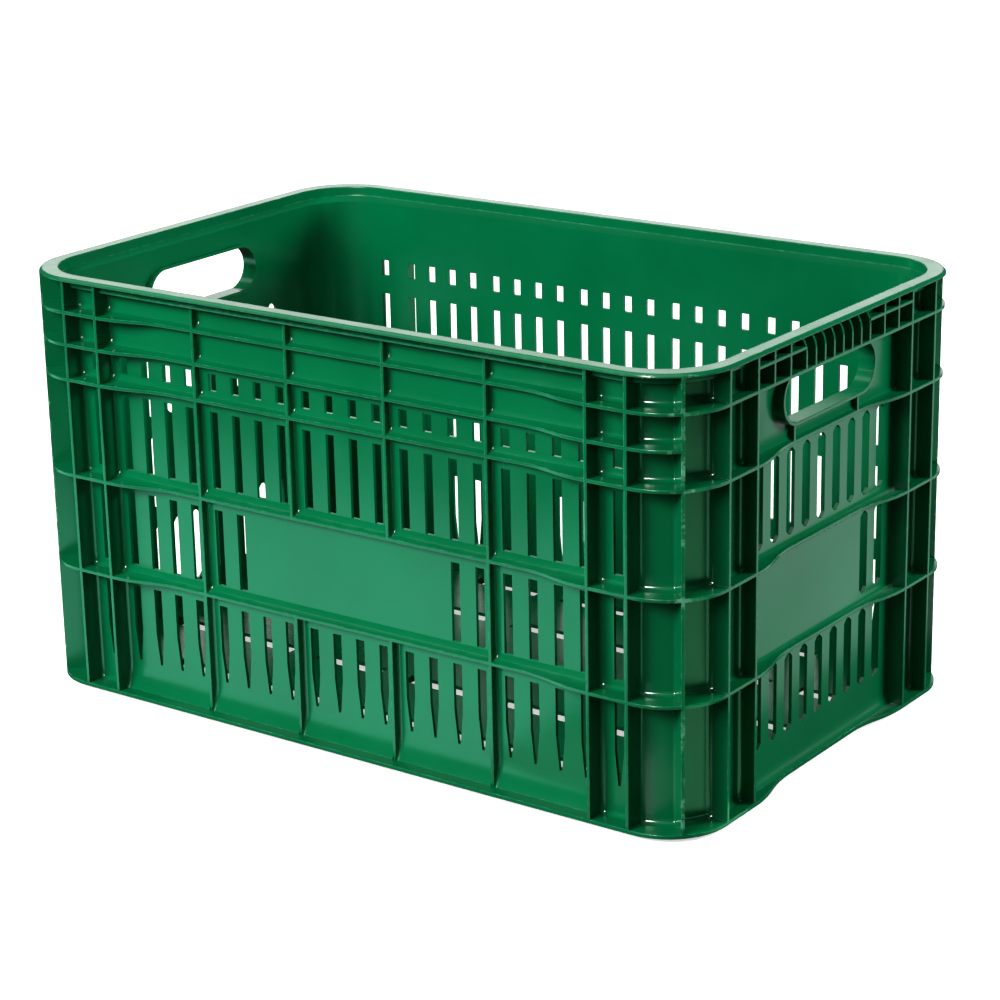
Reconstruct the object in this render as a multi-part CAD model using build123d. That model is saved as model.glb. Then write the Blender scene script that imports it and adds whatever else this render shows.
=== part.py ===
from build123d import *
import os

# Overall size in mm: X runs along the crate, the front wall faces -Y, and it stands on Z = 0
LENGTH = 556.0
WIDTH = 360.0
HEIGHT = 303.0

# Wall and rib thicknesses
WALL = 2.4
RIB = 2.2
FIN = 2.0

# Corner blocks: the deep ribbed corners that carry a stack
RIM_OVERHANG = 2.0
BLOCK_RADIUS = 43.0
CORNER_SPAN = 46.0
BLOCK_ALONG_SIDE = 75.0
BLOCK_ALONG_END = 78.6
SIDE_DEPTH = 14.0
END_DEPTH = 11.5
SHELL_RADIUS = 44.0

# Between the blocks the ribs and belts step back along an S curve
SIDE_DIP = 8.2
END_DIP = 8.0
DIP_RUN = 56.0

# Horizontal belts: how far the upper ones lie below the rim, and the height of the lowest
GRIP_BELT_DROP = 24.0
THIRD_BELT_DROP = 47.0
UPPER_BELT_DROP = 72.0
LOWER_BELT = 92.0
COVE = 5.2

# Rim with the ledge inside it that takes the foot of the crate above
RIM_PLATE = 2.6
RIM_FLAT = 11.0
RIM_RADIUS = 50.0
RIM_CHAMFER = 1.7
LEDGE_DROP = 7.0
SLOPE_HEIGHT = 3.0
BEAD = 1.6

# Base: the wall ends in a foot; a flange juts out above it, and shallow coves sweep down to it
FOOT = 3.0
FLANGE = 2.6
COVE_TOP = 24.0
SIDE_COVE = 5.0
END_COVE_TOP = 17.0
END_COVE = 2.9
FLOOR_UNDERSIDE = 12.0
FLOOR = 2.6

# Vent slots
BAYS = 5
SLOTS_PER_BAY = 4
END_SLOTS = 9
SLOT = 6.9
END_SLOT = 10.0
END_SLOT_CHAMFER = 3.2
FLOOR_SLOT = 13.0
SLOT_LIFT = 6.0
SLOT_DROP = 7.0
SHORT_SLOT_MARGIN = 5.4
SLOT_FOOT = 2.0
FOOT_SLOT_LIFT = 2.5
END_SLOT_LIFT = 8.0
TAPER = 24.0
PLAIN_PANEL = 170.0

# Hand holes and the finger grips over them
HAND_LENGTH = 116.0
HAND_HEIGHT = 33.0
COLLAR_OUT = 6.3
COLLAR_IN = 3.5
FINS = 8
FIN_PITCH = 11.7
FIN_STRAIGHT = 10.0
FIN_LEAN = 5.5

# Derived lines
BLOCK_X = LENGTH / 2 - RIM_OVERHANG
BLOCK_Y = WIDTH / 2 - RIM_OVERHANG
SHELL_X = BLOCK_X - END_DEPTH
SHELL_Y = BLOCK_Y - SIDE_DEPTH
SIDE_TIP = BLOCK_Y - SIDE_DIP
END_TIP = BLOCK_X - END_DIP
OUTER_RIB_X = BLOCK_X - CORNER_SPAN
INNER_RIB_X = BLOCK_X - BLOCK_ALONG_SIDE
OUTER_RIB_Y = BLOCK_Y - CORNER_SPAN
INNER_RIB_Y = BLOCK_Y - BLOCK_ALONG_END
CUT_X = INNER_RIB_X - RIB / 2
CUT_Y = INNER_RIB_Y - RIB / 2
BAY = 2 * INNER_RIB_X / BAYS
SLOT_PITCH = (BAY - RIB) / SLOTS_PER_BAY
END_PITCH = (2 * INNER_RIB_Y - RIB) / (END_SLOTS + 1)
FLANGE_TOP = FOOT + FLANGE
PLATE_UNDERSIDE = HEIGHT - RIM_PLATE
LEDGE = HEIGHT - LEDGE_DROP
BAND_FOOT = LEDGE - BEAD
WALL_TOP = BAND_FOOT - SLOPE_HEIGHT
GRIP_BELT = HEIGHT - GRIP_BELT_DROP
THIRD_BELT = HEIGHT - THIRD_BELT_DROP
UPPER_BELT = HEIGHT - UPPER_BELT_DROP
MIDDLE_BELT = (UPPER_BELT + LOWER_BELT) / 2
HAND_Z = GRIP_BELT - RIB - HAND_HEIGHT / 2


def s_curve(start, end, along):
    """Two arcs that step sideways and leave both ends parallel to the given direction."""
    middle = (Vector(*start) + Vector(*end)) * 0.5
    return [
        TangentArc(start, middle, tangent=along),
        TangentArc(end, middle, tangent=along * -1),
    ]


def plan(half_x, half_y, radius, end_dip=0.0, side_dip=0.0):
    """Rounded rectangle seen from above, whose sides may step in between the corner blocks."""
    side, end = side_dip - half_y, half_x - end_dip
    corner = (half_x - radius) + radius * 0.5 ** 0.5, (radius - half_y) - radius * 0.5 ** 0.5
    quarter = [ThreePointArc((half_x - radius, -half_y), corner, (half_x, radius - half_y))]
    if side_dip:
        low, high = (CUT_X - DIP_RUN, side), (CUT_X, -half_y)
        quarter += [Line((0, side), low), *s_curve(low, high, Vector(1, 0))]
        quarter += [Line(high, (half_x - radius, -half_y))]
    else:
        quarter += [Line((0, -half_y), (half_x - radius, -half_y))]
    if end_dip:
        low, high = (end, DIP_RUN - CUT_Y), (half_x, -CUT_Y)
        quarter += [Line((end, 0), low), *s_curve(low, high, Vector(0, -1))]
        quarter += [Line(high, (half_x, radius - half_y))]
    else:
        quarter += [Line((half_x, 0), (half_x, radius - half_y))]
    half = quarter + [mirror(edge, Plane.YZ) for edge in quarter]
    whole = half + [mirror(edge, Plane.XZ) for edge in half]
    return make_face([edge for curve in whole for edge in curve.edges()])


def slab(face, low, high):
    """Upright prism of a plan face between two heights."""
    return Pos(0, 0, low) * extrude(face, amount=high - low)


def block(low, high):
    """Box between two opposite corner points."""
    size = [b - a for a, b in zip(low, high)]
    return Pos(*low) * Box(*size, align=(Align.MIN, Align.MIN, Align.MIN))


def front_zone():
    return block((-CUT_X, -WIDTH, -HEIGHT), (CUT_X, 0, 2 * HEIGHT))


def right_zone():
    return block((0, -CUT_Y, -HEIGHT), (LENGTH, CUT_Y, 2 * HEIGHT))


def corner_zone():
    return block((CUT_X, -WIDTH, -HEIGHT), (LENGTH, -CUT_Y, 2 * HEIGHT))


SHELL = plan(SHELL_X, SHELL_Y, SHELL_RADIUS)
INSIDE = plan(SHELL_X - WALL, SHELL_Y - WALL, SHELL_RADIUS - WALL)
BLOCKS = plan(BLOCK_X, BLOCK_Y, BLOCK_RADIUS, END_DIP, SIDE_DIP)
GRIP_BLOCKS = plan(BLOCK_X, BLOCK_Y, BLOCK_RADIUS, 0, SIDE_DIP)
BASE = plan(BLOCK_X, BLOCK_Y, BLOCK_RADIUS, END_DIP, 0)
RECESS_X = LENGTH / 2 - RIM_FLAT
RECESS_Y = WIDTH / 2 - RIM_FLAT
RECESS = plan(RECESS_X, RECESS_Y, SHELL_RADIUS)
BAND = plan(RECESS_X + WALL, RECESS_Y + WALL, SHELL_RADIUS + WALL)


def rim_fill():
    """Everything inside the outer skin of the rim: the slope and the band on it."""
    slope = loft([Pos(0, 0, WALL_TOP) * SHELL, Pos(0, 0, BAND_FOOT) * BAND], ruled=True)
    return slope + slab(BAND, BAND_FOOT, PLATE_UNDERSIDE)


def rim_hollow():
    """The room inside the rim: the mouth of the crate, the sloped ledge and the recess over it."""
    foot = LEDGE - SLOPE_HEIGHT
    ledge = loft([Pos(0, 0, foot) * INSIDE, Pos(0, 0, LEDGE) * RECESS], ruled=True)
    return slab(INSIDE, 0, foot) + ledge + slab(RECESS, LEDGE, HEIGHT)


def base_cove(top, depth, grow=0.0):
    """Round bar along X that sweeps from a wall on the plane Y = 0 out to a depth at the flange."""
    height = top - FLANGE_TOP
    radius = (height ** 2 + depth ** 2) / (2 * depth)
    return Pos(0, -radius, top) * Rot(0, 90, 0) * Cylinder(radius + grow, 2 * LENGTH)


def front_base_fill():
    """The front flange and everything under the cove, with the hollow skirt taken as solid."""
    skirt = block((-CUT_X, -SIDE_TIP, FOOT), (CUT_X, -SHELL_Y, COVE_TOP))
    skirt -= Pos(0, -SHELL_Y, 0) * base_cove(COVE_TOP, SIDE_COVE)
    return skirt + block((-CUT_X, -BLOCK_Y, FOOT), (CUT_X, -SHELL_Y, FLANGE_TOP))


RIM_FILL = rim_fill()
FRONT_BASE_FILL = front_base_fill()


def front_base_skirt():
    """Foot of the front wall with a hollow skirt that sweeps out to a flat flange."""
    hollow = block((-CUT_X, -SIDE_TIP, 0), (CUT_X, -SHELL_Y, COVE_TOP))
    hollow -= Pos(0, -SHELL_Y, 0) * base_cove(COVE_TOP, SIDE_COVE, WALL)
    foot = block((-CUT_X, -SHELL_Y, 0), (CUT_X, WALL - SHELL_Y, COVE_TOP))
    return FRONT_BASE_FILL - hollow + foot


def end_base_skirt():
    """Foot of the right end wall with a low cove on a flange that steps back between the corners."""
    skirt = block((SHELL_X, -CUT_Y, FOOT), (END_TIP, CUT_Y, END_COVE_TOP))
    skirt -= Pos(SHELL_X, 0, 0) * Rot(0, 0, 90) * base_cove(END_COVE_TOP, END_COVE)
    skirt += (slab(BASE, FOOT, FLANGE_TOP) & right_zone()) - slab(SHELL, 0, HEIGHT)
    return skirt + (slab(SHELL - INSIDE, 0, COVE_TOP) & right_zone())


def rim():
    """Ring of the flat top plate, the band under it and the sloped ledge it stands on."""
    plate = slab(plan(LENGTH / 2, WIDTH / 2, RIM_RADIUS), PLATE_UNDERSIDE, HEIGHT)
    plate = chamfer(plate.edges().group_by(Axis.Z)[-1], RIM_CHAMFER)
    ring = RIM_FILL + plate - rim_hollow()
    reach = RECESS_Y + WALL
    bead = block((-CUT_X, -reach - BEAD, BAND_FOOT), (CUT_X, -reach, LEDGE))
    ring += bead
    ring += Rot(0, 0, 180) * bead
    return ring


def belt(level, face):
    return slab(face - SHELL, level - RIB, level)


def upright(x, y, turn, reach):
    """Full height rib plate, pointing along its turned X axis."""
    plate = Box(reach, RIB, PLATE_UNDERSIDE - FOOT, align=(Align.MIN, Align.CENTER, Align.MIN))
    return Pos(x, y, FOOT) * Rot(0, 0, turn) * plate


def outside(shape, face):
    """What is left of ribs within a plan face once walls, base and rim have taken their room."""
    shape = shape & slab(face, FLANGE_TOP, PLATE_UNDERSIDE)
    return shape - slab(SHELL, 0, WALL_TOP) - FRONT_BASE_FILL - RIM_FILL


def cove(level, depth, length):
    """Hollow root along the top of a belt in two slopes, built along X from the plane Y = 0."""
    outline = Polyline(
        (0, level), (-depth, level), (-depth / 3, level + depth / 3), (0, level + depth),
        close=True,
    )
    return extrude(Plane.YZ * make_face(outline), amount=length / 2, both=True)


def side_slots(x_positions, low, high):
    return [
        Pos(x, -SHELL_Y, (low + high) / 2) * Box(SLOT, 4 * WALL, high - low)
        for x in x_positions
    ]


def foot_slots(x_positions):
    """Slots of the lowest row, which narrow towards the floor."""
    low, high = COVE_TOP + FOOT_SLOT_LIFT, LOWER_BELT - RIB - SLOT_DROP
    half, foot = SLOT / 2, SLOT_FOOT / 2
    outline = Polyline(
        (-half, high), (-half, low + TAPER), (-foot, low), (foot, low), (half, low + TAPER), (half, high),
        close=True,
    )
    cutter = extrude(Plane.XZ * make_face(outline), amount=2 * WALL, both=True)
    return [Pos(x, -SHELL_Y, 0) * cutter for x in x_positions]


def front_wall():
    """Slotted panel with four ribs and five coved belts."""
    tip, depth = -SIDE_TIP, SIDE_TIP - SHELL_Y
    wall = block((-CUT_X, -SHELL_Y, COVE_TOP), (CUT_X, WALL - SHELL_Y, WALL_TOP))
    for level in (GRIP_BELT, THIRD_BELT, UPPER_BELT, MIDDLE_BELT, LOWER_BELT):
        wall += belt(level, BLOCKS) & front_zone()
        wall += Pos(0, -SHELL_Y, 0) * cove(level, COVE, 2 * CUT_X)
    for number in range(1, BAYS):
        x = (number - BAYS / 2) * BAY
        rib = outside(upright(x, -SHELL_Y, -90, depth), BLOCKS)
        if abs(x) < PLAIN_PANEL / 2:
            rib -= block((x - RIB, tip, LOWER_BELT), (x + RIB, -SHELL_Y, MIDDLE_BELT - RIB))
        wall += rib
    columns = [
        (bay - (BAYS - 1) / 2) * BAY + (slot - (SLOTS_PER_BAY - 1) / 2) * SLOT_PITCH
        for bay in range(BAYS)
        for slot in range(SLOTS_PER_BAY)
    ]
    beside_panel = [x for x in columns if abs(x) - SLOT / 2 > PLAIN_PANEL / 2 - SLOT]
    cutters = side_slots(columns, UPPER_BELT + SHORT_SLOT_MARGIN, THIRD_BELT - RIB - SHORT_SLOT_MARGIN)
    cutters += side_slots(columns, MIDDLE_BELT + SLOT_LIFT, UPPER_BELT - RIB - SLOT_DROP)
    cutters += side_slots(beside_panel, LOWER_BELT + SLOT_LIFT, MIDDLE_BELT - RIB - SLOT_DROP)
    cutters += foot_slots(columns)
    return wall - RIM_FILL - cutters


def corner_post():
    """Front right corner: rounded shell, base flange, five ribs and the belts round them."""
    shell = slab(SHELL - INSIDE, 0, WALL_TOP) + slab(BASE - SHELL, FOOT, FLANGE_TOP)
    belts = Part() + [belt(level, GRIP_BLOCKS) for level in (GRIP_BELT, UPPER_BELT, MIDDLE_BELT, LOWER_BELT)]
    corner = Pos(OUTER_RIB_X, -OUTER_RIB_Y, 0) * Rot(0, 0, -45)
    side_half = corner * block((-LENGTH, -LENGTH, 0), (LENGTH, 0, HEIGHT))
    belts += belt(THIRD_BELT, GRIP_BLOCKS) & side_half
    root_x, root_y = SHELL_X - SHELL_RADIUS, SHELL_RADIUS - SHELL_Y
    ribs = [upright(x, root_y, -90, SHELL_RADIUS + SIDE_DEPTH) for x in (INNER_RIB_X, OUTER_RIB_X)]
    ribs += [upright(root_x, -y, 0, SHELL_RADIUS + END_DEPTH) for y in (INNER_RIB_Y, OUTER_RIB_Y)]
    ribs += [upright(OUTER_RIB_X, -OUTER_RIB_Y, -45, 2 ** 0.5 * CORNER_SPAN)]
    post = shell & corner_zone()
    post += belts & corner_zone()
    post += [outside(rib, GRIP_BLOCKS) for rib in ribs]
    column = [(INNER_RIB_X + OUTER_RIB_X) / 2]
    cutters = side_slots(column, UPPER_BELT + SHORT_SLOT_MARGIN, THIRD_BELT - RIB - SHORT_SLOT_MARGIN)
    cutters += side_slots(column, MIDDLE_BELT + SLOT_LIFT, UPPER_BELT - RIB - SLOT_DROP)
    cutters += side_slots(column, LOWER_BELT + SLOT_LIFT, MIDDLE_BELT - RIB - SLOT_DROP)
    cutters += foot_slots(column)
    return post - cutters


def hand_outline(grow):
    outline = SlotOverall(HAND_LENGTH + 2 * grow, HAND_HEIGHT + 2 * grow)
    return Pos(0, 0, HAND_Z) * (Plane.YZ * outline)


def end_slots(y_positions, low, high):
    outline = Rectangle(END_SLOT, high - low)
    outline = chamfer(outline.vertices(), END_SLOT_CHAMFER)
    cutter = extrude(Plane.YZ * outline, amount=2 * WALL, both=True)
    return [Pos(SHELL_X, y, (low + high) / 2) * cutter for y in y_positions]


def end_wall():
    """Slotted panel of the right end with three belts and the hole for the collar."""
    depth = END_TIP - SHELL_X
    wall = block((SHELL_X - WALL, -CUT_Y, COVE_TOP), (SHELL_X, CUT_Y, WALL_TOP))
    for level in (UPPER_BELT, MIDDLE_BELT, LOWER_BELT):
        wall += belt(level, BLOCKS) & right_zone()
        wall += Pos(SHELL_X, 0, 0) * Rot(0, 0, 90) * cove(level, depth * 0.9, 2 * CUT_Y)
    for y in (-1, 1):
        y *= (FINS - 1) / 2 * FIN_PITCH
        wall += block((SHELL_X, y - RIB / 2, UPPER_BELT), (END_TIP, y + RIB / 2, HAND_Z))
    wall -= extrude(Pos(SHELL_X, 0, 0) * hand_outline(RIB), amount=4 * COLLAR_OUT, both=True)
    columns = [(number - (END_SLOTS - 1) / 2) * END_PITCH for number in range(END_SLOTS)]
    cutters = end_slots(columns, MIDDLE_BELT + SLOT_LIFT, UPPER_BELT - RIB - SLOT_DROP / 2)
    cutters += end_slots(columns[-2:], LOWER_BELT + SLOT_LIFT, MIDDLE_BELT - RIB - SLOT_DROP / 2)
    cutters += end_slots(columns, COVE_TOP + END_SLOT_LIFT, LOWER_BELT - RIB - SLOT_DROP / 2)
    return wall - cutters


def grip_belt():
    return belt(GRIP_BELT, GRIP_BLOCKS) & right_zone()


def hand_collar():
    """Round-ended collar that lines the right hand hole and hangs from the grip belt."""
    inner_face = Pos(SHELL_X - WALL - COLLAR_IN, 0, 0)
    ring = inner_face * (hand_outline(RIB) - hand_outline(0))
    return extrude(ring, amount=COLLAR_IN + WALL + COLLAR_OUT, dir=(1, 0, 0)) - grip_belt()


def finger_grip():
    """Belt over the right hand hole with curved finger fins between two small rib grids."""
    grip = grip_belt()
    tip, lean = BLOCK_X, BLOCK_X - FIN_LEAN
    straight = (tip, GRIP_BELT + FIN_STRAIGHT)
    outline = [
        Line((SHELL_X, GRIP_BELT), (tip, GRIP_BELT)),
        Line((tip, GRIP_BELT), straight),
        TangentArc(straight, (lean, PLATE_UNDERSIDE), tangent=(0, 1)),
        Line((lean, PLATE_UNDERSIDE), (SHELL_X, PLATE_UNDERSIDE)),
        Line((SHELL_X, PLATE_UNDERSIDE), (SHELL_X, GRIP_BELT)),
    ]
    fin = extrude(Plane.XZ * make_face(outline), amount=FIN / 2, both=True)
    fin -= RIM_FILL
    last_fin = (FINS - 1) / 2 * FIN_PITCH
    grip += [Pos(0, number * FIN_PITCH - last_fin, 0) * fin for number in range(FINS)]
    grid_bay = (INNER_RIB_Y - last_fin) / 3
    grid_z = (GRIP_BELT + PLATE_UNDERSIDE) / 2 + FIN
    for side in (-1, 1):
        for y in (last_fin + grid_bay, last_fin + 2 * grid_bay):
            y *= side
            column = block((SHELL_X, y - FIN / 2, GRIP_BELT), (tip, y + FIN / 2, PLATE_UNDERSIDE))
            grip += column - RIM_FILL
        near, far = sorted((side * last_fin, side * CUT_Y))
        grip += block((SHELL_X, near, grid_z), (tip, far, grid_z + FIN)) - RIM_FILL
    return grip


def floor():
    """Slotted panel stiffened by a grid of ribs below it."""
    panel = slab(INSIDE, FLOOR_UNDERSIDE, FLOOR_UNDERSIDE + FLOOR)
    half_x, half_y = SHELL_X - WALL, SHELL_Y - WALL
    rows = 5
    row = 2 * half_y / rows
    ribs = Part()
    for number in range(BAYS + 1):
        x = (number - BAYS / 2) * BAY
        ribs += block((x - RIB / 2, -half_y, FOOT), (x + RIB / 2, half_y, FLOOR_UNDERSIDE))
    for number in range(1, rows):
        y = (number - rows / 2) * row
        ribs += block((-half_x, y - RIB / 2, FOOT), (half_x, y + RIB / 2, FLOOR_UNDERSIDE))
    end_bay = half_x - INNER_RIB_X
    bays = [((bay - (BAYS - 1) / 2) * BAY, 0.72 * BAY, rows) for bay in range(BAYS)]
    bays += [(side * (INNER_RIB_X + end_bay / 2), 0.6 * end_bay, rows - 2) for side in (-1, 1)]
    cutters = []
    for x, length, slot_rows in bays:
        for line in range(slot_rows):
            y = (line - (slot_rows - 1) / 2) * row
            cutters += [Pos(x, y, FLOOR_UNDERSIDE) * Box(length, FLOOR_SLOT, 4 * FLOOR)]
    return panel + (ribs & slab(INSIDE, FOOT, FLOOR_UNDERSIDE)) - cutters


def save(shape, name):
    export_step(shape, f"parts/{name}.step")


def save_four(shape, name):
    """A front right corner piece and its three mirror images."""
    left = mirror(shape, Plane.YZ)
    save(shape, f"front_right_{name}")
    save(left, f"front_left_{name}")
    save(Rot(0, 0, 180) * shape, f"rear_left_{name}")
    save(Rot(0, 0, 180) * left, f"rear_right_{name}")


def save_two(shape, name, here, opposite):
    """A piece and its copy turned half round to the opposite side."""
    save(shape, f"{here}_{name}")
    save(Rot(0, 0, 180) * shape, f"{opposite}_{name}")


def main():
    os.makedirs("parts", exist_ok=True)
    save(floor(), "floor")
    save_two(front_wall(), "wall", "front", "rear")
    save_two(end_wall(), "end_wall", "right", "left")
    save_four(corner_post(), "corner_post")
    save_two(front_base_skirt(), "base_skirt", "front", "rear")
    save_two(end_base_skirt(), "base_skirt", "right", "left")
    ring = rim()
    save_two(ring & right_zone(), "rim", "right", "left")
    save_two(ring & block((-LENGTH, -WIDTH, 0), (LENGTH, -CUT_Y, HEIGHT)), "rim", "front", "rear")
    save_two(hand_collar(), "hand_hole_collar", "right", "left")
    save_two(finger_grip(), "finger_grip", "right", "left")


main()
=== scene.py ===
# %% [markdown]
# # A green vented crate
# The solids of the crate come in as a fixed frame, already in metres and standing on the floor.
# This lesson only dresses them: smooth shading, moulded plastic, small rounded roots, a floor, lamps and a
# camera.

# %% Load the frame
import math
import bmesh
import bpy
from mathutils import Matrix, Vector


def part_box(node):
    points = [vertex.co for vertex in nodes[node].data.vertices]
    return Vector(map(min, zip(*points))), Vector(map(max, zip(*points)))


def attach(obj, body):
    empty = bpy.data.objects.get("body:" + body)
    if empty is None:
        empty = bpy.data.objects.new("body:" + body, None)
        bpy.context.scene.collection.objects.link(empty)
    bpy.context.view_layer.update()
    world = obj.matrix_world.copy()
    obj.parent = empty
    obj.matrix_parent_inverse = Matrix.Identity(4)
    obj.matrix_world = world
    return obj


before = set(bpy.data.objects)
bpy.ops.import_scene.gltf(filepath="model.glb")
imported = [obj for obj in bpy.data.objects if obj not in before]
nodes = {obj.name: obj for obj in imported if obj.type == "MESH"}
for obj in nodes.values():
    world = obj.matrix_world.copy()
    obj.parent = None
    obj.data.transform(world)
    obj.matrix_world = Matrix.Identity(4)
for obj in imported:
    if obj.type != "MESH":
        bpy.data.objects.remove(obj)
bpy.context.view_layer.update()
print("nodes:", len(nodes))

# %% [markdown]
# ## Seams and outlines to work from
# A real crate is one moulding, but the frame holds it as separate members that meet face to face.
# The places where they meet could be typed in as numbers. They are read from the members' own boxes
# instead, so that a change of size in the solids is followed here.

# %% Read the main lines of the crate
inside_x, inside_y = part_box("floor")[1].xy
rim_seam_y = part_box("right_end_wall")[1].y
base_seam_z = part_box("front_base_skirt")[1].z
rim_seam_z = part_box("front_rim")[0].z
post_low, post_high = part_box("front_right_corner_post")
print("inside half size:", round(inside_x, 4), round(inside_y, 4))
print("seams: base", round(base_seam_z, 4), "rim", round(rim_seam_z, 4), "rim ends", round(rim_seam_y, 4))

# %% [markdown]
# ## Smooth faces and crisp edges
# The frame's faces arrive as separate flat triangles, so a round corner would look faceted. Blender can
# smooth a mesh for good, but the frame's own meshes have to stay as they are. A modifier made of geometry
# nodes does it on the fly: it joins the triangles and shades smoothly, except across sharp edges.

# %% Modifier that joins the triangles and keeps sharp edges
WELD = 1e-5
CREASE = math.radians(28)


def crisp_shading():
    """Geometry node group: weld, then smooth shading with sharp edges above the crease angle."""
    group = bpy.data.node_groups.new("crisp_shading", "GeometryNodeTree")
    for way in ("INPUT", "OUTPUT"):
        group.interface.new_socket("Geometry", in_out=way, socket_type="NodeSocketGeometry")
    new, link = group.nodes.new, group.links.new
    weld = new("GeometryNodeMergeByDistance")
    weld.inputs["Distance"].default_value = WELD
    angle = new("GeometryNodeInputMeshEdgeAngle")
    soft = new("FunctionNodeCompare")
    soft.operation = "LESS_THAN"
    soft.inputs["B"].default_value = CREASE
    faces = new("GeometryNodeSetShadeSmooth")
    edges = new("GeometryNodeSetShadeSmooth")
    edges.domain = "EDGE"
    link(new("NodeGroupInput").outputs[0], weld.inputs["Geometry"])
    link(weld.outputs[0], faces.inputs["Geometry"])
    link(faces.outputs[0], edges.inputs["Geometry"])
    link(angle.outputs["Unsigned Angle"], soft.inputs["A"])
    link(soft.outputs["Result"], edges.inputs["Shade Smooth"])
    link(edges.outputs[0], new("NodeGroupOutput").inputs[0])
    return group


shading = crisp_shading()
print("nodes in the shading group:", len(shading.nodes))

# %% [markdown]
# The modifier goes on every member. They all share one node group, so a new crease angle would reach
# all of them at once.

# %% Put the modifier on the members
def shade_crisply(piece):
    """Smooth faces and crisp edges for one piece."""
    piece.modifiers.new("crisp_shading", "NODES").node_group = shading


for member in nodes.values():
    shade_crisply(member)
print("members shaded:", len(nodes))

# %% [markdown]
# ## The plastic
# The crate is polyethylene coloured all through: a deep blue-green, half glossy, cloudy where the melt
# cooled, with a fine grain. Its edges are painted pale, partly as rubbed wear and partly as painted
# highlight.
# Walls, rim and roots are the same plastic, but their edges differ, so there are three materials. A material
# is a tree of nodes. It could be drawn by hand in the shader editor, but with a small helper class each step
# below stays a few lines long.

# %% Three materials to fill
class Shader:
    """A new material, with short ways to add nodes to its tree and to join them."""

    def __init__(self, name):
        self.material = bpy.data.materials.new(name)
        self.material.use_nodes = True
        self.tree = self.material.node_tree
        self.surface = self.tree.nodes["Principled BSDF"].inputs
        self.place = self.add("ShaderNodeTexCoord").outputs["Object"]  # on the crate, in metres

    def add(self, kind, **settings):
        """New node with the given settings."""
        node = self.tree.nodes.new(kind)
        for key, value in settings.items():
            setattr(node, key, value)
        return node

    def feed(self, socket, value):
        """Sets a socket to a plain value, or links it to another node's output."""
        if isinstance(value, bpy.types.NodeSocket):
            self.tree.links.new(value, socket)
        else:
            socket.default_value = value

    def math(self, operation, first, second=0.5):
        """Math node; each input is a number or an output of another node."""
        node = self.add("ShaderNodeMath", operation=operation)
        self.feed(node.inputs[0], first)
        self.feed(node.inputs[1], second)
        return node.outputs[0]


wall_plastic = Shader("green_plastic")
rim_plastic = Shader("green_plastic_rim")
root_plastic = Shader("green_plastic_roots")
plastics = wall_plastic, rim_plastic, root_plastic
print("materials:", [plastic.material.name for plastic in plastics])

# %% [markdown]
# ### Cloudy green
# Coloured plastic is never quite one tone, because the pigment streaks as the melt flows. An image could
# carry that, but it would need an unwrapped mesh. Noise that is worked out from the position needs none and
# runs on across the seams. Here soft noise mixes two close greens.

# %% Noise, ranges and mixed colours
DEEP_GREEN = (0.0, 0.112, 0.041, 1)
FRESH_GREEN = (0.0, 0.142, 0.054, 1)


def noise(shader, per_metre, detail=3.0, roughness=0.5):
    """Noise from 0 to 1 that has so many blotches per metre."""
    node = shader.add("ShaderNodeTexNoise")
    shader.feed(node.inputs["Vector"], shader.place)
    shader.feed(node.inputs["Scale"], per_metre)
    shader.feed(node.inputs["Detail"], detail)
    shader.feed(node.inputs["Roughness"], roughness)
    return node.outputs["Fac"]


def stretch(shader, value, low, high, to_low=0.0, to_high=1.0):
    """Takes the range from low to high to another range, and stops at its ends."""
    node = shader.add("ShaderNodeMapRange")
    shader.feed(node.inputs["Value"], value)
    limits = {"From Min": low, "From Max": high, "To Min": to_low, "To Max": to_high}
    for socket, number in limits.items():
        shader.feed(node.inputs[socket], number)
    return node.outputs["Result"]


def mix(shader, kind, amount, first, second):
    """Mix of two colours (kind RGBA) or two directions (kind VECTOR)."""
    node = shader.add("ShaderNodeMix", data_type=kind)
    inputs = [socket for socket in node.inputs if socket.enabled]
    for socket, value in zip(inputs, (amount, first, second)):
        shader.feed(socket, value)
    return next(socket for socket in node.outputs if socket.enabled)


colour = {}
for plastic in plastics:
    cloud = stretch(plastic, noise(plastic, per_metre=9.0, detail=4.0), low=0.3, high=0.7)
    colour[plastic] = mix(plastic, "RGBA", cloud, DEEP_GREEN, FRESH_GREEN)
print("cloudy greens:", len(colour))

# %% [markdown]
# ### Where an edge may catch the light
# A moulded edge is a little round and shows as a fine bright line. No such line belongs on the smooth inside
# or where two members of the frame meet, because the real crate has no seam there. Those places could be
# painted out by hand. A mask that is worked out from the position holds for any size: it is 1 where an edge
# may show, and 0 elsewhere.

# %% Masks for walls and rim
EDGE_RADIUS = 0.0009
RIM_EDGE_RADIUS = 0.0018
SEAM_MARGIN = 1.5  # in edge radii
WALL = 0.0024


def reach(shader, letter):
    """Distance from the origin along one axis."""
    split = shader.add("ShaderNodeSeparateXYZ")
    shader.feed(split.inputs[0], shader.place)
    return shader.math("ABSOLUTE", split.outputs[letter])


def clear_of_seam(shader, letter, seam, radius):
    """1 away from a seam across one axis, 0 close to it."""
    gap = shader.math("ABSOLUTE", shader.math("SUBTRACT", reach(shader, letter), seam))
    return shader.math("GREATER_THAN", gap, SEAM_MARGIN * radius)


def wall_edges(shader):
    """1 on the outside of walls and corners, 0 inside the crate and on the seams of base and rim."""
    past_end = shader.math("GREATER_THAN", reach(shader, "X"), inside_x + WALL + EDGE_RADIUS)
    past_side = shader.math("GREATER_THAN", reach(shader, "Y"), inside_y + WALL + EDGE_RADIUS)
    mask = shader.math("MAXIMUM", past_end, past_side)
    for seam in (base_seam_z, rim_seam_z):
        mask = shader.math("MULTIPLY", mask, clear_of_seam(shader, "Z", seam, EDGE_RADIUS))
    return mask


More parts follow.
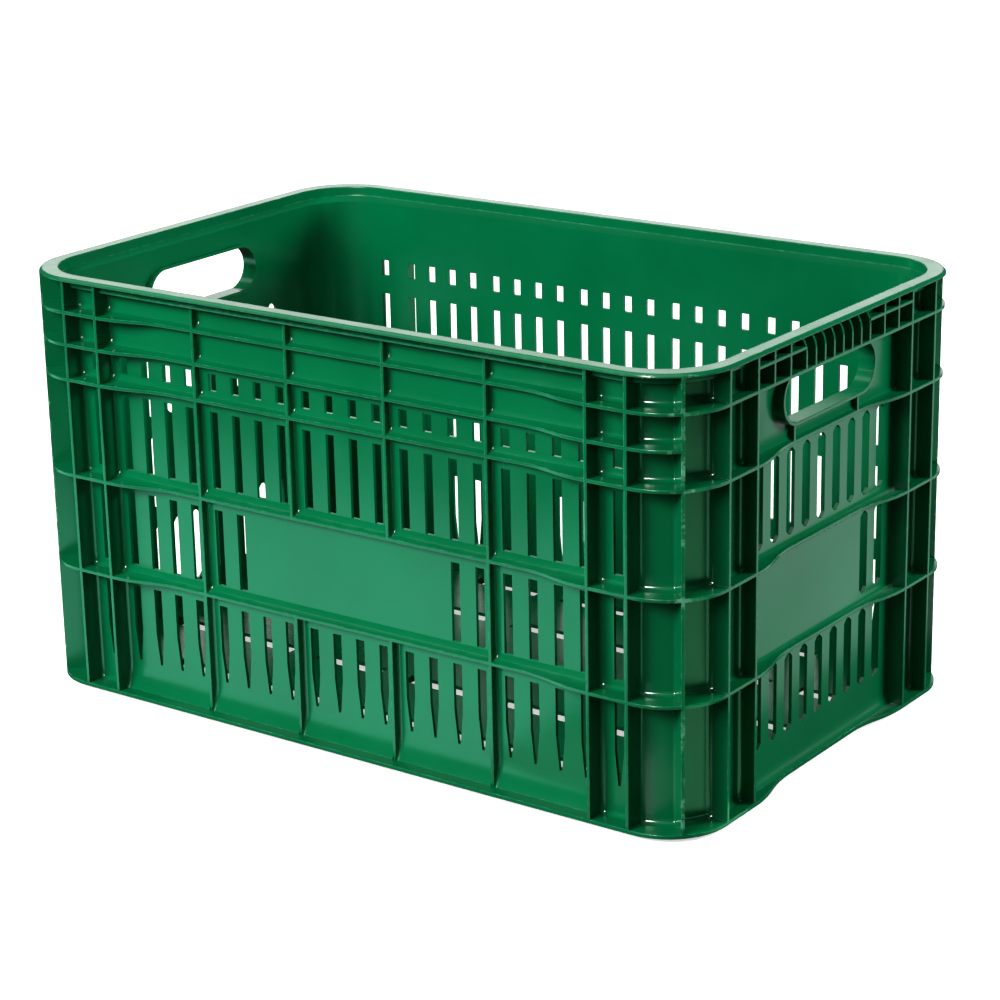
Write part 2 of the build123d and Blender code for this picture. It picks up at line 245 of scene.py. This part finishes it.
def rim_edges(shader):
    """1 on the rim, 0 where its pieces meet each other and the walls."""
    between_pieces = clear_of_seam(shader, "Y", rim_seam_y, RIM_EDGE_RADIUS)
    above_walls = clear_of_seam(shader, "Z", rim_seam_z, RIM_EDGE_RADIUS)
    return shader.math("MULTIPLY", between_pieces, above_walls)


mask = {wall_plastic: wall_edges(wall_plastic), rim_plastic: rim_edges(rim_plastic)}
print("materials with masked edges:", len(mask))

# %% [markdown]
# ### Rounded edges
# A bevel modifier would cut the edges round, but it would add a great many faces. The bevel node rounds
# them for the light only. The angle by which it turns a spot also tells where the edges are, for the wear
# and the painted highlight of the next step. The rim's edge is twice as round as the others. Roots are round
# already and get none.

# %% Bevel node behind the mask
BEVEL_SAMPLES = 6
FULL_EDGE = 0.75  # cosine of the turn at which an edge counts in full

normal, edge = {}, {}
for plastic, radius in ((wall_plastic, EDGE_RADIUS), (rim_plastic, RIM_EDGE_RADIUS)):
    bevel = plastic.add("ShaderNodeBevel", samples=BEVEL_SAMPLES)
    plastic.feed(bevel.inputs["Radius"], radius)
    flat = plastic.add("ShaderNodeNewGeometry").outputs["Normal"]
    normal[plastic] = mix(plastic, "VECTOR", mask[plastic], flat, bevel.outputs[0])
    facing = plastic.add("ShaderNodeVectorMath", operation="DOT_PRODUCT")
    plastic.feed(facing.inputs[0], bevel.outputs[0])
    plastic.feed(facing.inputs[1], flat)
    turned = stretch(plastic, facing.outputs["Value"], low=1.0, high=FULL_EDGE)
    edge[plastic] = plastic.math("MULTIPLY", turned, mask[plastic])
    print(plastic.material.name, "edge radius, mm:", 1000 * radius)

# %% [markdown]
# ### Rubbed edges with painted highlight, and knocks
# Crates are stacked, dragged and dropped. Their edges are painted pale in short stretches, inner corners
# included: partly rubbed wear, and partly painted highlight where a rounded edge would catch the light. The
# diagonal ribs, which stand out most at the corners, have taken knocks. Paint strokes could show both. Noise
# is used here because it needs no brush and is the same in every run: fine noise on the rounded edges, and
# fine noise within coarse noise on the outermost strip of the diagonal ribs.

# %% Pale wear and painted highlight on edges, knocks on corner ribs
# pale green for rubbed wear and knocks, and for the painted highlight along the edges
PALE_WEAR_AND_HIGHLIGHT_GREEN = (0.16, 0.42, 0.28, 1)
WALL_RUBBING_AND_HIGHLIGHT, RIM_RUBBING_AND_HIGHLIGHT = 0.7, 0.5
CORNER_RADIUS = 0.043
KNOCK_DEPTH = 0.0016


def corner_tips(shader):
    """1 on the outermost strip of the diagonal corner ribs, 0 elsewhere."""
    outward = shader.math("ADD", reach(shader, "X"), reach(shader, "Y"))
    tip = post_high.x - post_low.y - (2 - math.sqrt(2)) * CORNER_RADIUS
    return shader.math("GREATER_THAN", outward, tip - KNOCK_DEPTH)


rubbed_and_highlit = {}
for plastic, amount in ((wall_plastic, WALL_RUBBING_AND_HIGHLIGHT), (rim_plastic, RIM_RUBBING_AND_HIGHLIGHT)):
    # pale stretches along every rounded edge, inner corners too: rubbed wear and painted highlight
    wear_and_highlight_spots = stretch(plastic, noise(plastic, per_metre=160.0, detail=5.0, roughness=0.65), low=0.45, high=0.75)
    rubbing_and_highlight = plastic.math("MULTIPLY", edge[plastic], plastic.math("MULTIPLY", wear_and_highlight_spots, amount))
    bruised = stretch(plastic, noise(plastic, per_metre=24.0, detail=2.0), low=0.44, high=0.52)
    chips = stretch(plastic, noise(plastic, per_metre=110.0, detail=6.0, roughness=0.7), low=0.5, high=0.68)
    knocks = plastic.math("MULTIPLY", bruised, chips)
    knocks = plastic.math("MULTIPLY", knocks, corner_tips(plastic))
    rubbed_and_highlit[plastic] = plastic.math("MAXIMUM", rubbing_and_highlight, knocks)
    # the pale green of wear, knocks and painted highlight is mixed into the cloudy green
    colour[plastic] = mix(plastic, "RGBA", rubbed_and_highlit[plastic], colour[plastic], PALE_WEAR_AND_HIGHLIGHT_GREEN)
print("materials with wear:", len(rubbed_and_highlit))

# %% [markdown]
# ### Gloss and grain
# The faces of the mould are not equally smooth, so the gloss varies softly, and the pale spots of wear and
# painted highlight are duller.
# A fine grain breaks up the reflections. Grains this small can't be modelled for a whole crate. The bump
# node bends the light as they would.

# %% Finish the three materials
SMOOTHEST, DULLEST = 0.17, 0.27
WEAR_AND_HIGHLIGHT_DULLNESS = 0.2
GRAIN_STRENGTH, GRAIN_DEPTH = 0.08, 0.0002
REFRACTION = 1.4

for plastic in plastics:
    blotches = noise(plastic, per_metre=35.0, detail=4.0)
    gloss = stretch(plastic, blotches, low=0.25, high=0.75, to_low=SMOOTHEST, to_high=DULLEST)
    grain = plastic.add("ShaderNodeBump")
    plastic.feed(grain.inputs["Strength"], GRAIN_STRENGTH)
    plastic.feed(grain.inputs["Distance"], GRAIN_DEPTH)
    plastic.feed(grain.inputs["Height"], noise(plastic, per_metre=900.0, detail=2.0))
    if plastic in rubbed_and_highlit:
        gloss = plastic.math("ADD", gloss, plastic.math("MULTIPLY", rubbed_and_highlit[plastic], WEAR_AND_HIGHLIGHT_DULLNESS))
        plastic.feed(grain.inputs["Normal"], normal[plastic])
    plastic.feed(plastic.surface["Base Color"], colour[plastic])
    plastic.feed(plastic.surface["Roughness"], gloss)
    plastic.feed(plastic.surface["Normal"], grain.outputs[0])
    plastic.feed(plastic.surface["IOR"], REFRACTION)
    print(plastic.material.name, "nodes:", len(plastic.tree.nodes))

# %% [markdown]
# The rim's members get the finish with the rounder edge, and all the others the finish of the walls.

# %% Put the plastic on the members
for name, member in nodes.items():
    finish = rim_plastic if name.endswith("_rim") else wall_plastic
    member.data.materials.clear()
    member.data.materials.append(finish.material)
print("members with the rim's finish:", sum(name.endswith("_rim") for name in nodes))

# %% [markdown]
# ## Rounded roots in the corner cells
# A mould leaves no perfectly sharp inner corner. Where belts and ribs grow out of the corner shell there are
# small round roots, and they catch the light as short bright lines and dots. A bevel modifier would round
# every edge alike and stumble over the frame's thin triangles, so each root is a thin strip of its own.
# To place the strips, the shell is walked from the first rib of a corner to its last.

# %% A walk round the corner shell
SHELL_RADIUS = 0.044
RIB = 0.0022
shell_x, shell_y = inside_x + WALL, inside_y + WALL
side_run = shell_x - SHELL_RADIUS - post_low.x - RIB / 2
bend = SHELL_RADIUS * math.radians(90)


def shell_walk(run):
    """Point and outward direction after a run along the front right corner, from its first rib."""
    if run < side_run:
        return Vector((post_low.x + RIB / 2 + run, -shell_y)), Vector((0, -1))
    if run > side_run + bend:
        return Vector((shell_x, SHELL_RADIUS - shell_y + run - side_run - bend)), Vector((1, 0))
    turn = (run - side_run) / SHELL_RADIUS
    out = Vector((math.sin(turn), -math.cos(turn)))
    return Vector((shell_x - SHELL_RADIUS, SHELL_RADIUS - shell_y)) + SHELL_RADIUS * out, out


print("straight run and bend, mm:", round(1000 * side_run, 1), round(1000 * bend, 1))

# %% [markdown]
# ### Ribs and cells of a corner
# Five ribs stand on the shell: one at either end, one on the diagonal, and one on each side of that.
# Between them the belts make a grid of cells, with one belt more on the long side than on the end. The ribs
# are placed by how far along the walk they stand, so that every later step can loop over the cells.

# %% Five ribs and the cells between them
CORNER_SPAN = 0.046  # from the block's outer face to the rib beside the diagonal one
FLANGE_TOP, LOWER_BELT, MIDDLE_BELT = 0.0056, 0.092, 0.1615
UPPER_BELT, THIRD_BELT, GRIP_BELT = 0.231, 0.256, 0.279
SIDE_BELTS = FLANGE_TOP, LOWER_BELT, MIDDLE_BELT, UPPER_BELT, THIRD_BELT, GRIP_BELT
END_BELTS = FLANGE_TOP, LOWER_BELT, MIDDLE_BELT, UPPER_BELT, GRIP_BELT

to_side, to_end = Vector((0, -1)), Vector((1, 0))
side_turn = math.asin((post_high.x - CORNER_SPAN - shell_x + SHELL_RADIUS) / SHELL_RADIUS)
end_turn = math.acos((-post_low.y - CORNER_SPAN - shell_y + SHELL_RADIUS) / SHELL_RADIUS)
end_run = shell_y - SHELL_RADIUS + post_high.y - RIB / 2
ribs = [
    (0, to_side),
    (side_run + SHELL_RADIUS * side_turn, to_side),
    (side_run + bend / 2, (to_side + to_end).normalized()),
    (side_run + SHELL_RADIUS * end_turn, to_end),
    (side_run + bend + end_run, to_end),
]
cells = []
for near, far, belts in zip(ribs, ribs[1:], (SIDE_BELTS, SIDE_BELTS, END_BELTS, END_BELTS)):
    tops = [level - RIB for level in belts[1:]] + [rim_seam_z + RIB]
    cells += [(near, far, low, high) for low, high in zip(belts, tops)]
print("ribs along the corner, mm:", [round(1000 * run, 1) for run, _ in ribs], "cells:", len(cells))

# %% [markdown]
# ### Roots along the belts
# A root's section is a hollow quarter round, as a finger would leave in putty. The section is repeated along
# the shell, and the rings are joined to a closed strip. A curve with a bevel profile could do the same, but
# its ends would have to be cut to fit. The strips are sunk a little into their neighbours and end in them.

# %% Quarter-round strips on the belts
ROOT = 0.003
SUNK = 0.0002  # how far a root reaches into its neighbours
STEPS = 6  # flats in a quarter round
RINGS = 8  # stretches between two ribs


def root_section(radius=ROOT):
    """(across, out) points of a hollow quarter round in an inner corner."""
    turns = [math.radians(90) * step / STEPS for step in range(STEPS + 1)]
    hollow = [(radius * (1 - math.sin(turn)), radius * (1 - math.cos(turn))) for turn in turns]
    return [(-SUNK, -SUNK), (radius, -SUNK), *hollow, (-SUNK, radius)]


def strip(mesh, rings):
    """Closed strip through rings of points."""
    rings = [[mesh.verts.new(point) for point in ring] for ring in rings]
    for here, there in zip(rings, rings[1:]):
        for corner in range(len(here)):
            mesh.faces.new((here[corner - 1], here[corner], there[corner], there[corner - 1]))
    mesh.faces.new(rings[0])
    mesh.faces.new(rings[-1][::-1])


def belt_root(mesh, start, end, level):
    """Root between a belt and the shell, from one rib to the next."""
    runs = [start + (end - start) * number / RINGS for number in range(RINGS + 1)]
    runs = sorted(runs + [run for run in (side_run, side_run + bend) if start < run < end])
    rings = []
    for point, out in map(shell_walk, runs):
        rings.append([(*(point + across * out), level + up) for across, up in root_section()])
    strip(mesh, rings)


corner_roots = bmesh.new()
for (start, _), (end, _), low, high in cells:
    belt_root(corner_roots, start, end, low)
print("faces along the belts:", len(corner_roots.faces))

# %% [markdown]
# ### Roots along the ribs
# The same section runs up both sides of every rib. The ribs beside the diagonal one don't stand square on
# the round shell, so a strip takes one of its directions along the shell and the other along the rib.

# %% Quarter-round strips on the ribs
def rib_side(run, way):
    """Foot of one side of a rib (way 1 or -1), and the direction from there along the shell."""
    foot = shell_walk(run + way * RIB / 2)[0]
    along = (shell_walk(run + way * (RIB / 2 + ROOT))[0] - foot) / ROOT
    return foot, along


def rib_root(mesh, foot, along, rib, low, high):
    """Root between a rib and the shell, from below a cell to above it."""
    spots = [foot + across * along + out * rib for across, out in root_section()]
    strip(mesh, [[(*spot, level) for spot in spots] for level in (low - SUNK, high + SUNK)])


for near, far, low, high in cells:
    for (run, rib), way in ((near, 1), (far, -1)):
        rib_root(corner_roots, *rib_side(run, way), rib, low, high)
print("faces along belts and ribs:", len(corner_roots.faces))

# %% [markdown]
# ### Ball corners
# Where a rib, a belt and the shell meet, the three roots run together in a hollow like the mark of a ball.
# It mirrors any lamp as a small dot, which is why it is worth making. A sphere could be cut away, but a cut
# leaves untidy faces. Here a triangular grid is pressed onto an eighth of a ball and closed behind.

# %% Ball corners where three roots meet
def ball_corner(mesh, foot, along, rib, level):
    """Closed piece whose hollow side is an eighth of a ball, set into the corner of a cell."""
    def spot(across, out, up):
        return mesh.verts.new((*(foot + across * along + out * rib), level + up))

    tip = spot(-SUNK, -SUNK, -SUNK)
    grid = {}
    for i in range(STEPS + 1):
        for j in range(STEPS + 1 - i):
            toward = Vector((i, j, STEPS - i - j)).normalized()
            grid[i, j] = spot(*(ROOT * (1 - value) for value in toward))
    for i, j in grid:
        if i + j < STEPS:
            mesh.faces.new((grid[i, j], grid[i + 1, j], grid[i, j + 1]))
        if i + j < STEPS - 1:
            mesh.faces.new((grid[i + 1, j], grid[i + 1, j + 1], grid[i, j + 1]))
    for n in range(STEPS):
        mesh.faces.new((tip, grid[n + 1, 0], grid[n, 0]))
        mesh.faces.new((tip, grid[0, n], grid[0, n + 1]))
        mesh.faces.new((tip, grid[n, STEPS - n], grid[n + 1, STEPS - n - 1]))


for near, far, low, high in cells:
    for (run, rib), way in ((near, 1), (far, -1)):
        ball_corner(corner_roots, *rib_side(run, way), rib, low)
print("faces of one corner:", len(corner_roots.faces))

# %% [markdown]
# ### Four corners from one
# The crate is the same at all four corners, turned over from left to right and from front to rear. A mirror
# modifier would keep the four in one piece. Copies give each corner a piece of its own that can be named.

# %% Roots of all four corners
ENDS = {"right": 1, "left": -1}
SIDES = {"front": 1, "rear": -1}


def add_roots(name, roots, end_sign, side_sign):
    """Makes a piece of the crate from a copy of some roots, turned over by the two signs."""
    mesh = roots.copy()
    bmesh.ops.scale(mesh, vec=(end_sign, side_sign, 1), verts=mesh.verts)
    bmesh.ops.recalc_face_normals(mesh, faces=mesh.faces)
    data = bpy.data.meshes.new(name)
    mesh.to_mesh(data)
    mesh.free()
    data.materials.append(root_plastic.material)
    piece = bpy.data.objects.new(name, data)
    bpy.context.scene.collection.objects.link(piece)
    shade_crisply(piece)
    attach(piece, "root")
    print(name, "faces:", len(data.polygons))


for end_name, end_sign in ENDS.items():
    for side_name, side_sign in SIDES.items():
        add_roots(f"{side_name}_{end_name}_corner_roots", corner_roots, end_sign, side_sign)
corner_roots.free()

# %% [markdown]
# ## Rounded roots along the ribs of the long walls
# Between the corners the ribs are shallow, and their roots follow the coves on the belts: out along the
# belt, round the cove and up the wall. A bent root like this throws one small bright dot at each belt.
# The path is worked out first, as points with a direction in which the root's hollow side looks.

# %% The way up from a belt
COVE = 0.0052
COVE_LIFT = 0.00055  # the solids' cove is two slopes, fuller than an arc, so the path is lifted towards them
BASE_COVE_RADIUS = 0.0364
BASE_COVE_TURN = math.radians(31)


def base_climb():
    """(out, up) points and directions up the wide cove over the base flange."""
    spots = []
    for step in range(STEPS + 1):
        turn = BASE_COVE_TURN * (1 - step / STEPS)
        across, along = math.cos(turn), math.sin(turn)
        spot = BASE_COVE_RADIUS * (1 - across), base_seam_z - BASE_COVE_RADIUS * along
        spots.append((spot, (across, along)))
    return spots


def belt_climb(level):
    """(out, up) points and directions round the small cove on a belt."""
    spots = []
    for step in range(STEPS + 1):
        turn = math.radians(90) * step / STEPS
        radius = COVE - COVE_LIFT * math.sin(2 * turn)
        across, along = math.sin(turn), math.cos(turn)
        spots.append(((COVE - radius * across, level + COVE - radius * along), (across, along)))
    return spots


print("points round a cove:", len(base_climb()), len(belt_climb(LOWER_BELT)))

# %% [markdown]
# ### Roots of one long wall
# Six ribs stand along a long wall, the outer two on the corners. The inner ribs get a root on both sides in
# every row, and the outer ones on the side of the wall. The two middle ribs stop at the plain panel and get
# none in that row. One wall is made, and the other is its copy.

# %% Roots along the ribs of the long walls
WALL_ROOT = 0.002
BAYS = 5


def wall_rib_root(mesh, face, way, low, high):
    """Root on one side of a rib (way 1 or -1) of the front wall, from a belt up to the next."""
    climb = base_climb() if low == FLANGE_TOP else belt_climb(low)
    rings = []
    for (out, up), (out_way, up_way) in [*climb, ((0, high + SUNK), (1, 0))]:
        rings.append([
            (face + way * across, -shell_y - out - depth * out_way, up + depth * up_way)
            for across, depth in root_section(WALL_ROOT)
        ])
    strip(mesh, rings)


wall_roots = bmesh.new()
outer_rib = post_low.x + RIB / 2
tops = [level - RIB for level in SIDE_BELTS[1:]] + [rim_seam_z]
for number in range(BAYS + 1):
    x = outer_rib * (2 * number / BAYS - 1)
    ways = [way for way in (-1, 1) if abs(x + way * RIB) < outer_rib]
    for low, high in zip(SIDE_BELTS, tops):
        beside_panel = abs(x) < outer_rib / 2 and low == LOWER_BELT
        if beside_panel:
            continue
        for way in ways:
            wall_rib_root(wall_roots, x + way * RIB / 2, way, low, high)
for side_name, side_sign in SIDES.items():
    add_roots(f"{side_name}_wall_rib_roots", wall_roots, 1, side_sign)
wall_roots.free()

# %% [markdown]
# ## Pale floor
# A sheet of studio paper runs far past the picture, so it fills the background without an edge. It glows a
# little by itself to stay white. Only the camera sees it: if the crate mirrored it or took light from it,
# every underside would turn pale. What the crate mirrors is set by the cards of the next step.

# %% Studio floor
FLOOR_SIZE = 40
PAPER, PALE_PAPER = (0.86, 0.86, 0.85, 1), (0.9, 0.9, 0.89, 1)
PAPER_ROUGHNESS, PAPER_GLOW = 0.9, 0.5
WHITE = (1, 1, 1, 1)

bpy.ops.mesh.primitive_plane_add(size=FLOOR_SIZE)
studio_floor = bpy.context.object
studio_floor.name = "studio_floor"
paper = Shader("pale_paper")
tone = stretch(paper, noise(paper, per_metre=3.0), low=0.3, high=0.7)
paper.feed(paper.surface["Base Color"], mix(paper, "RGBA", tone, PAPER, PALE_PAPER))
paper.feed(paper.surface["Roughness"], PAPER_ROUGHNESS)
paper.feed(paper.surface["Emission Color"], WHITE)
paper.feed(paper.surface["Emission Strength"], PAPER_GLOW)
studio_floor.data.materials.append(paper.material)
studio_floor.visible_glossy = studio_floor.visible_diffuse = False
print("floor:", FLOOR_SIZE, "m square")

# %% [markdown]
# ## Cards for the sheen
# Upright faces of half-glossy plastic mirror the floor in front of them, and that gives them a soft sheen.
# Glowing cards on the floor stand in for it, because each can be placed and dimmed by itself, which a
# mirrored floor can't. The camera doesn't see them and they light no surface. Two are tinted green, as if
# they threw back the crate's own colour. The one beside the corner is a wedge, so that the first cells of
# the end stay dark.

# %% Cards that only reflections see
CARD_LIFT = 0.0005
COOL_WHITE = (0.9, 0.97, 1, 1)
MINT = (0.42, 1, 0.85, 1)
LEAF = (0.3, 1, 0.55, 1)
BLACK = (0, 0, 0, 1)
CARD_FRONT = -0.19  # just clear of the crate's front
CARD_SPLIT = 0.08  # where the front card ends and the corner card begins


def card(name, corners, glow, tint=COOL_WHITE):
    """Glowing sheet on the floor that only reflections see."""
    data = bpy.data.meshes.new(name)
    data.from_pydata([(x, y, CARD_LIFT) for x, y in corners], [], [range(len(corners))])
    sheet = bpy.data.objects.new(name, data)
    bpy.context.scene.collection.objects.link(sheet)
    finish = Shader(name)
    finish.feed(finish.surface["Base Color"], BLACK)
    finish.feed(finish.surface["Emission Color"], tint)
    finish.feed(finish.surface["Emission Strength"], glow)
    data.materials.append(finish.material)
    sheet.visible_camera = sheet.visible_diffuse = sheet.visible_shadow = False
    print(name, "glow:", glow)


def oblong(low, high):
    """Four corners of a sheet that lies square to the crate."""
    return [low, (high[0], low[1]), high, (low[0], high[1])]


card("front_card", oblong((-1.4, -0.62), (CARD_SPLIT, CARD_FRONT)), glow=2.8, tint=MINT)
card("corner_card", oblong((CARD_SPLIT, -0.28), (0.32, CARD_FRONT)), glow=0.6)
card("side_card", [(0.28, -0.165), (1.2, -0.70), (1.2, 0.0), (0.28, -0.1)], glow=2.6, tint=LEAF)
card("end_card", oblong((0.34, 0.04), (1.1, 1.3)), glow=1.2)

# %% [markdown]
# ## Lamps
# Large area lamps give soft light without hard shadows. The key and fill lamps stand in front, a little to
# the left, so the long side is bright and the cells behind the corner stay dark. Four lamps only light. Two
# only show in the gloss: a small one in front for the dots and lines of the roots, and a long one overhead
# for the rim's edge. Keeping the two jobs apart lets each be set without spoiling the other.

# %% Soft lamps
CRATE = (0, 0, 0.15)


def panel(name, place, target, size, watts, lights=True, mirrored=True):
    """Soft lamp that looks at a target point; it lights surfaces, shows in their gloss, or both."""
    lamp = bpy.data.lights.new(name, "AREA")
    lamp.shape = "RECTANGLE"
    lamp.size, lamp.size_y = size
    lamp.energy = watts
    holder = bpy.data.objects.new(name, lamp)
    holder.visible_diffuse = lights
    holder.visible_glossy = mirrored
    holder.visible_camera = False
    bpy.context.scene.collection.objects.link(holder)
    aim = Vector(target) - Vector(place)
    holder.matrix_world = Matrix.Translation(place) @ aim.to_track_quat("-Z", "Y").to_matrix().to_4x4()


panel("key_panel", (-1.15, -2.9, 2.1), CRATE, (1.3, 1.2), watts=125, mirrored=False)
panel("fill_panel", (-0.1, -2.9, 1.6), CRATE, (1.2, 1.2), watts=48, mirrored=False)
panel("front_panel", (0.4, -2.3, 1.7), CRATE, (0.5, 0.5), watts=150, lights=False)
panel("edge_panel", (-0.7, -0.7, 2.5), (-0.7, -0.7, 0), (4.0, 1.0), watts=25, lights=False)
panel("sky_panel", (0, 0.5, 4.0), (0, 0.5, 0), (7.0, 7.0), watts=85, mirrored=False)
panel("back_panel", (-2.3, 3.2, 1.25), (0, 0, 0.3), (2.6, 1.2), watts=17)
panel("end_panel", (2.4, 1.8, 1.2), (0.3, 0, 0.1), (1.2, 1.0), watts=105, mirrored=False)
print("lamps:", len(bpy.data.lights))

# %% [markdown]
# ## The room
# The room itself adds a faint cool light from all round, so that no hollow is quite black. The Standard
# view keeps the greens as strong as they were set, and a little more contrast suits the hard-edged ribs.

# %% Room light and contrast
ROOM_COLOUR = (0.95, 0.98, 1.0, 1)
ROOM_LIGHT = 0.08

world = bpy.data.worlds.new("studio_walls")
bpy.context.scene.world = world
world.use_nodes = True
room = world.node_tree.nodes["Background"].inputs
room["Color"].default_value = ROOM_COLOUR
room["Strength"].default_value = ROOM_LIGHT
bpy.context.scene.view_settings.view_transform = "Standard"
bpy.context.scene.view_settings.look = "Medium High Contrast"
print("room light:", ROOM_LIGHT)

# %% [markdown]
# ## Camera
# The photograph was taken with a long lens from a little above, at about 36 degrees to the right of the
# long side. The angles, the place and the lens were fitted to the crate's rim, base and ribs in it. The
# camera is built from its direction and a slight tilt, which a target to track couldn't give, and it has
# no depth of field.

# %% Camera at the photograph's angle
AZIMUTH, ELEVATION, TILT = math.radians(35.98), math.radians(17.95), math.radians(-1.136)
STAND = Vector((1.1260, -1.5403, 0.7518))
LENS, SENSOR = 102.46, 36.0

ahead = Vector((-math.sin(AZIMUTH), math.cos(AZIMUTH), 0)) * math.cos(ELEVATION)
ahead.z = -math.sin(ELEVATION)
level = Vector((math.cos(AZIMUTH), math.sin(AZIMUTH), 0))
upright = level.cross(ahead)
right = math.cos(TILT) * level + math.sin(TILT) * upright
up = math.cos(TILT) * upright - math.sin(TILT) * level
lens = bpy.data.cameras.new("photo_camera")
lens.lens, lens.sensor_width = LENS, SENSOR
camera = bpy.data.objects.new("photo_camera", lens)
bpy.context.scene.collection.objects.link(camera)
camera.matrix_world = Matrix.Translation(STAND) @ Matrix((right, up, -ahead)).transposed().to_4x4()
bpy.context.scene.camera = camera
print("camera at", tuple(round(v, 3) for v in STAND), "lens", LENS)
